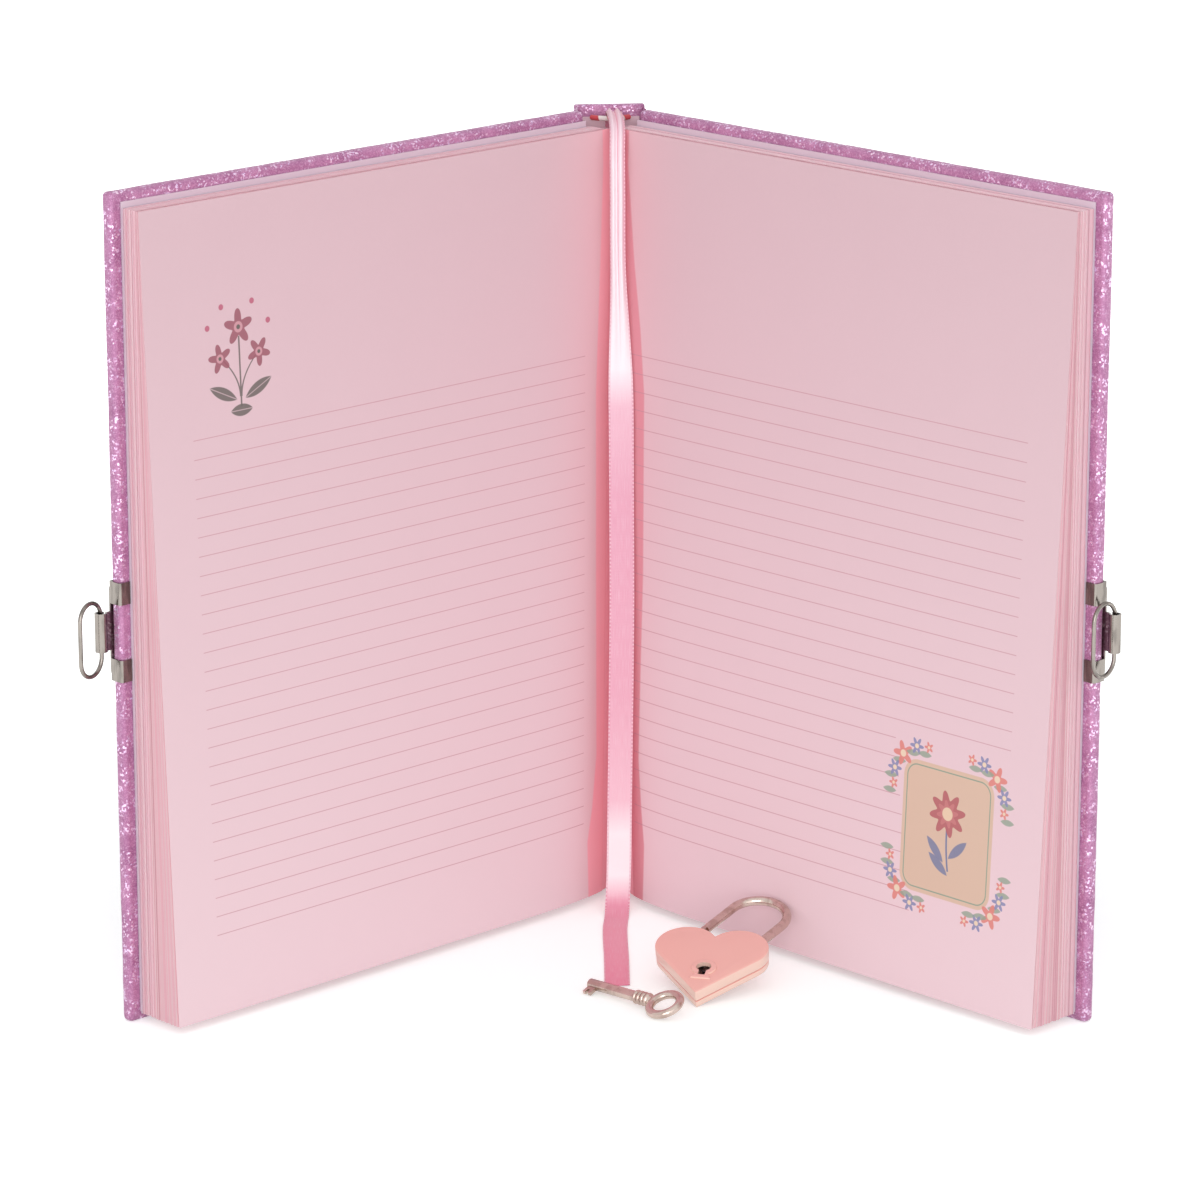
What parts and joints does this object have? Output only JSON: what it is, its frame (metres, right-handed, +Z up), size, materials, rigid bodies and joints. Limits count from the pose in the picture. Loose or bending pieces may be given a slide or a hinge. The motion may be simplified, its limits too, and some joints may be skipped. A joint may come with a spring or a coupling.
{
  "type": "lockable diary",
  "caption": "Hard-cover diary standing open on its edges, with fanned leaves, a ribbon marker, a ring clasp on each cover, and a heart-shaped padlock with its key.",
  "frame": {"origin": "middle of the spine's foot, on the surface that the diary stands on", "axes": "+Z up along the spine, +X to the back cover's side, +Y out of the back of the spine, so the reader sits at -Y"},
  "size_m": [0.2531, 0.1407, 0.21],
  "materials": {
    "leatherette": "satin glitter",
    "greyboard": "matt board",
    "endpaper": "matt paper",
    "section_paper": "matt paper",
    "page_paper": "matt paper",
    "band": "striped thread",
    "ribbon": "satin",
    "nickel": "polished plate",
    "enamel": "gloss",
    "steel": "plain"
  },
  "bodies": {
    "spine": {"spine_wrap": "leatherette", "spine_board": "greyboard", "spine_lining": "endpaper", "head_band": "band", "tail_band": "band", "ribbon_marker": "ribbon"},
    "front_joint": {"front_joint_cloth": "leatherette", "front_joint_liner": "endpaper"},
    "back_joint": {"back_joint_cloth": "leatherette", "back_joint_liner": "endpaper"},
    "front_cover": {"front_wrap": "leatherette", "front_board": "greyboard", "front_pastedown": "endpaper", "front_flyleaf": "endpaper", "front_section_1": "section_paper", "front_section_2": "section_paper", "front_section_3": "section_paper", "front_section_4": "section_paper", "front_leaf_wedge": "page_paper", "front_loose_leaf": "page_paper", "front_page": "page_paper", "front_clasp": "nickel"},
    "back_cover": {"back_wrap": "leatherette", "back_board": "greyboard", "back_pastedown": "endpaper", "back_flyleaf": "endpaper", "back_section_1": "section_paper", "back_section_2": "section_paper", "back_section_3": "section_paper", "back_section_4": "section_paper", "back_leaf_wedge": "page_paper", "back_loose_leaf": "page_paper", "back_page": "page_paper", "back_clasp": "nickel"},
    "front_ring": {"front_ring": "nickel"},
    "back_ring": {"back_ring": "nickel"},
    "padlock": {"lock_front": "enamel", "lock_back_plate": "enamel", "shackle_pivot": "steel", "key_post": "steel", "latch_spring": "steel"},
    "shackle": {"shackle": "nickel"},
    "latch": {"latch_bar": "steel"},
    "key": {"key": "nickel"}
  },
  "joints": [
    {"name": "front_spine_crease", "type": "hinge", "parent": "spine", "child": "front_joint", "pos_m": [-0.00925, -0.0013, 0.105], "axis": [0, 0, 1], "range_deg": [-40, 0]},
    {"name": "front_cover_crease", "type": "hinge", "parent": "front_joint", "child": "front_cover", "pos_m": [-0.00925, -0.007, 0.105], "axis": [0, 0, 1], "range_deg": [0, 50.7], "deforming": ["front_leaf_wedge", "front_loose_leaf", "front_page", "ribbon_marker"]},
    {"name": "back_spine_crease", "type": "hinge", "parent": "spine", "child": "back_joint", "pos_m": [0.00925, -0.0013, 0.105], "axis": [0, 0, -1], "range_deg": [-51, 0]},
    {"name": "back_cover_crease", "type": "hinge", "parent": "back_joint", "child": "back_cover", "pos_m": [0.00925, -0.007, 0.105], "axis": [0, 0, -1], "range_deg": [0, 39.6], "deforming": ["back_leaf_wedge", "back_loose_leaf", "back_page"]},
    {"name": "padlock_lift", "type": "slide", "parent": "spine", "child": "padlock", "axis": [0, -1, 0], "range_m": [0, 0.19]},
    {"name": "key_lift", "type": "slide", "parent": "padlock", "child": "key", "axis": [0, -1, 0], "range_m": [0, 0.107]},
    {"name": "front_ring_swing", "type": "hinge", "parent": "front_cover", "child": "front_ring", "pos_m": [-0.13409, -0.10867, 0.1], "axis": [0, 0, 1], "range_deg": [-164, 91]},
    {"name": "back_ring_swing", "type": "hinge", "parent": "back_cover", "child": "back_ring", "pos_m": [0.11218, -0.1308, 0.1], "axis": [0, 0, -1], "range_deg": [-238, 17]},
    {"name": "shackle_swing", "type": "hinge", "parent": "padlock", "child": "shackle", "pos_m": [0.02511, -0.09602, 0.0074], "axis": [-0.08, -0.2461, 0.9659], "range_deg": [0, 25]},
    {"name": "latch_slide", "type": "slide", "parent": "padlock", "child": "latch", "axis": [-0.9511, 0.309, 0], "range_m": [0, 0.0014], "stiffness_N_per_m": 300, "springref_m": -0.001, "deforming": ["latch_spring"]}
  ],
  "couplings": [
    {"joint": "padlock_lift", "follows": "back_cover_crease", "m_per_rad": 0.27},
    {"joint": "key_lift", "follows": "front_cover_crease", "m_per_rad": 0.12}
  ]
}
